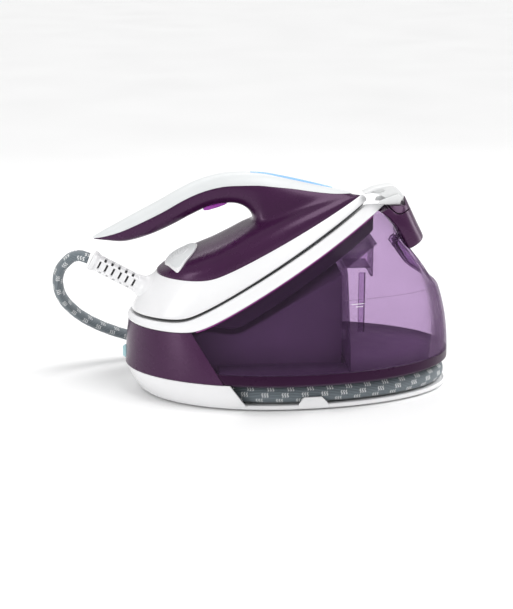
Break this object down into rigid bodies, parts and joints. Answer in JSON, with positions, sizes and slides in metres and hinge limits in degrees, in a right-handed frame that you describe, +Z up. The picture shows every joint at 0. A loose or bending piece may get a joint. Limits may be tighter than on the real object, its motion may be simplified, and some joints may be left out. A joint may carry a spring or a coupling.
{
  "type": "steam generator iron",
  "caption": "Steam iron resting nose-up on a compact steam station, with a clear detachable water tank and a woven steam hose stored in a channel round the base.",
  "frame": {"origin": "on the floor under the middle of the box of everything but the hose", "axes": "+X from the iron's heel to its nose and to the front of the water tank, +Z up"},
  "size_m": [0.4098, 0.2086, 0.2253],
  "materials": {
    "white": "gloss white",
    "aubergine": "gloss dark purple",
    "dark": "satin very dark purple",
    "lavender": "clear tinted",
    "light_grey": "satin light grey",
    "magenta": "gloss magenta",
    "light_blue": "translucent light blue",
    "black": "matte black",
    "pale_green": "satin pale green",
    "rubber": "matte grey",
    "steel": "brushed",
    "cast_alloy": "as cast",
    "soleplate": "dark glazed",
    "copper": "satin copper",
    "board": "green board",
    "hose": "woven sleeve, slate with pale strokes"
  },
  "bodies": {
    "station": {"base_tray": "white", "base_deck": "dark", "foot_1": "rubber", "foot_2": "rubber", "foot_3": "rubber", "foot_4": "rubber", "rear_body": "aubergine", "dock_frame": "dark", "platform": "white", "core_housing": "dark", "lock_bracket": "light_grey", "lock_spring": "steel", "boiler": "cast_alloy", "boiler_heater": "steel", "boiler_thermostat": "black", "safety_valve": "steel", "water_pump": "black", "steam_valve": "copper", "water_pipe": "light_grey", "steam_pipe": "copper", "tank_coupling": "rubber", "hose_gland": "light_grey", "control_board": "board", "mains_inlet": "rubber", "steam_hose": "hose"},
    "tank": {"tank_base": "aubergine", "tank_shell": "lavender", "tank_inner": "lavender", "tank_cap": "aubergine", "pickup_tube": "lavender", "pickup_bracket": "lavender"},
    "tank_valve": {"tank_valve": "white"},
    "release_button": {"release_button": "aubergine"},
    "carry_lock": {"carry_lock": "light_grey"},
    "power_button": {"power_button": "light_grey"},
    "descale_knob": {"descale_knob": "pale_green"},
    "iron": {"iron_skirt": "white", "iron_housing": "aubergine", "handle_cover": "light_grey", "light_strip": "light_blue", "heel_panel": "light_grey", "strain_relief": "white", "soleplate": "soleplate", "heat_shield": "black", "steam_chamber": "cast_alloy", "chamber_cover": "steel", "inner_steam_pipe": "rubber", "trigger_pin": "steel", "microswitch": "black", "trigger_spring": "steel"},
    "trigger": {"trigger": "magenta"}
  },
  "joints": [
    {"name": "iron_lift", "type": "slide", "parent": "station", "child": "iron", "axis": [-0.866, 0, 0.5], "range_m": [0, 0.14], "deforming": ["steam_hose"]},
    {"name": "trigger_squeeze", "type": "hinge", "parent": "iron", "child": "trigger", "pos_m": [-0.046, 0, 0.199], "axis": [0, 1, 0], "range_deg": [0, 6], "stiffness_Nm_per_rad": 1.2, "springref_deg": -1.15, "deforming": ["trigger_spring"]},
    {"name": "carry_lock_turn", "type": "hinge", "parent": "station", "child": "carry_lock", "pos_m": [0.129, 0, 0.198], "axis": [0, 1, 0], "range_deg": [0, 25], "stiffness_Nm_per_rad": 0.15, "springref_deg": -11.46},
    {"name": "tank_slide", "type": "slide", "parent": "station", "child": "tank", "axis": [1, 0, 0], "range_m": [0, 0.2]},
    {"name": "release_button_press", "type": "slide", "parent": "tank", "child": "release_button", "axis": [0, 0, -1], "range_m": [0, 0.0012], "stiffness_N_per_m": 400, "springref_m": -0.001},
    {"name": "tank_valve_push", "type": "slide", "parent": "tank", "child": "tank_valve", "axis": [1, 0, 0], "range_m": [0, 0.003], "stiffness_N_per_m": 300, "springref_m": -0.001},
    {"name": "power_button_press", "type": "slide", "parent": "station", "child": "power_button", "axis": [0.33, -0.944, 0], "range_m": [0, 0.0025], "stiffness_N_per_m": 500, "springref_m": -0.001},
    {"name": "descale_knob_turn", "type": "hinge", "parent": "station", "child": "descale_knob", "pos_m": [-0.134, 0, 0.039], "axis": [-1, 0, 0], "range_deg": [0, 90]}
  ]
}
